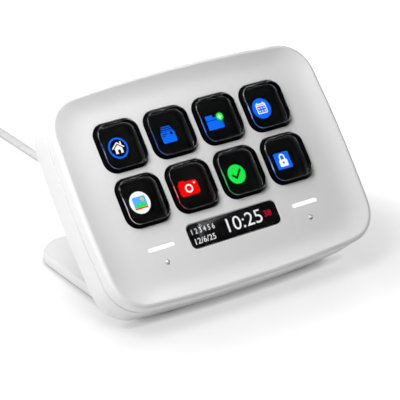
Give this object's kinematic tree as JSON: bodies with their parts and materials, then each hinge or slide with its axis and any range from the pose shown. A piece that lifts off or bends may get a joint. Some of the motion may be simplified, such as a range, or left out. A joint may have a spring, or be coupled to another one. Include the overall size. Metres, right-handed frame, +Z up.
{
  "type": "macro keypad with screen keys",
  "caption": "Desk macro pad: clear sprung keys over a screen in a dished white housing on a sloping fixed foot, with a display strip, light bars and a USB cord.",
  "frame": {"origin": "middle of the underside of the foot's grip pad area, on the desk", "axes": "+X to the right, +Y to the back, +Z up; the keys face -Y and up at 40 degrees above the horizon"},
  "size_m": [0.1135, 0.2233, 0.0691],
  "materials": {
    "white_shell": "fine satin moulded ABS",
    "screw_steel": "zinc-plated",
    "dark_frame": "black moulded frame",
    "silicone": "translucent silicone",
    "screen_glass": "black screen glass",
    "plain_steel": "bare sheet steel",
    "foam": "closed-cell foam",
    "clear_window": "clear moulded window",
    "light_guide": "milky light guide",
    "board_green": "solder-masked board",
    "copper_pad": "copper foil",
    "chip_black": "moulded chip",
    "ribbon_amber": "polyimide film",
    "socket_ivory": "connector body",
    "grip_rubber": "non-slip pad",
    "cord_white": "satin cord jacket",
    "tie_grey": "hook-and-loop strap",
    "plug_white": "moulded grip",
    "plug_steel": "nickel-plated shell",
    "key_clear": "clear polished cap",
    "key_black": "black carrier"
  },
  "bodies": {
    "base": {"front_shell": "white_shell", "back_shell": "white_shell", "shell_screws": "screw_steel", "key_guide": "dark_frame", "dome_mat": "silicone", "screen_panel": "screen_glass", "screen_tray": "plain_steel", "foam_strips": "foam", "strip_window": "clear_window", "light_bar_left": "light_guide", "light_bar_right": "light_guide", "light_board_left": "board_green", "light_board_right": "board_green", "touch_pad_left": "copper_pad", "touch_pad_right": "copper_pad", "main_board": "board_green", "board_chips": "chip_black", "board_screws": "screw_steel", "screen_ribbon": "ribbon_amber", "ribbon_socket": "socket_ivory", "foot_shell": "white_shell", "foot_weight": "plain_steel", "foot_lid": "white_shell", "grip_pad": "grip_rubber", "bracket_screws": "screw_steel", "strain_relief": "cord_white", "cord": "cord_white", "cord_coil": "cord_white", "cord_tail": "cord_white", "coil_tie": "tie_grey", "plug_grip": "plug_white", "plug_shell": "plug_steel"},
    "key_1": {"key_cap_1": "key_clear", "key_carrier_1": "key_black"},
    "key_2": {"key_cap_2": "key_clear", "key_carrier_2": "key_black"},
    "key_3": {"key_cap_3": "key_clear", "key_carrier_3": "key_black"},
    "key_4": {"key_cap_4": "key_clear", "key_carrier_4": "key_black"},
    "key_5": {"key_cap_5": "key_clear", "key_carrier_5": "key_black"},
    "key_6": {"key_cap_6": "key_clear", "key_carrier_6": "key_black"},
    "key_7": {"key_cap_7": "key_clear", "key_carrier_7": "key_black"},
    "key_8": {"key_cap_8": "key_clear", "key_carrier_8": "key_black"}
  },
  "joints": [
    {"name": "key_1_press", "type": "slide", "parent": "base", "child": "key_1", "axis": [0, 0.766, -0.6428], "range_m": [0, 0.0012], "stiffness_N_per_m": 250, "springref_m": -0.0016, "deforming": ["dome_mat"]},
    {"name": "key_2_press", "type": "slide", "parent": "base", "child": "key_2", "axis": [0, 0.766, -0.6428], "range_m": [0, 0.0012], "stiffness_N_per_m": 250, "springref_m": -0.0016, "deforming": ["dome_mat"]},
    {"name": "key_3_press", "type": "slide", "parent": "base", "child": "key_3", "axis": [0, 0.766, -0.6428], "range_m": [0, 0.0012], "stiffness_N_per_m": 250, "springref_m": -0.0016, "deforming": ["dome_mat"]},
    {"name": "key_4_press", "type": "slide", "parent": "base", "child": "key_4", "axis": [0, 0.766, -0.6428], "range_m": [0, 0.0012], "stiffness_N_per_m": 250, "springref_m": -0.0016, "deforming": ["dome_mat"]},
    {"name": "key_5_press", "type": "slide", "parent": "base", "child": "key_5", "axis": [0, 0.766, -0.6428], "range_m": [0, 0.0012], "stiffness_N_per_m": 250, "springref_m": -0.0016, "deforming": ["dome_mat"]},
    {"name": "key_6_press", "type": "slide", "parent": "base", "child": "key_6", "axis": [0, 0.766, -0.6428], "range_m": [0, 0.0012], "stiffness_N_per_m": 250, "springref_m": -0.0016, "deforming": ["dome_mat"]},
    {"name": "key_7_press", "type": "slide", "parent": "base", "child": "key_7", "axis": [0, 0.766, -0.6428], "range_m": [0, 0.0012], "stiffness_N_per_m": 250, "springref_m": -0.0016, "deforming": ["dome_mat"]},
    {"name": "key_8_press", "type": "slide", "parent": "base", "child": "key_8", "axis": [0, 0.766, -0.6428], "range_m": [0, 0.0012], "stiffness_N_per_m": 250, "springref_m": -0.0016, "deforming": ["dome_mat"]}
  ]
}
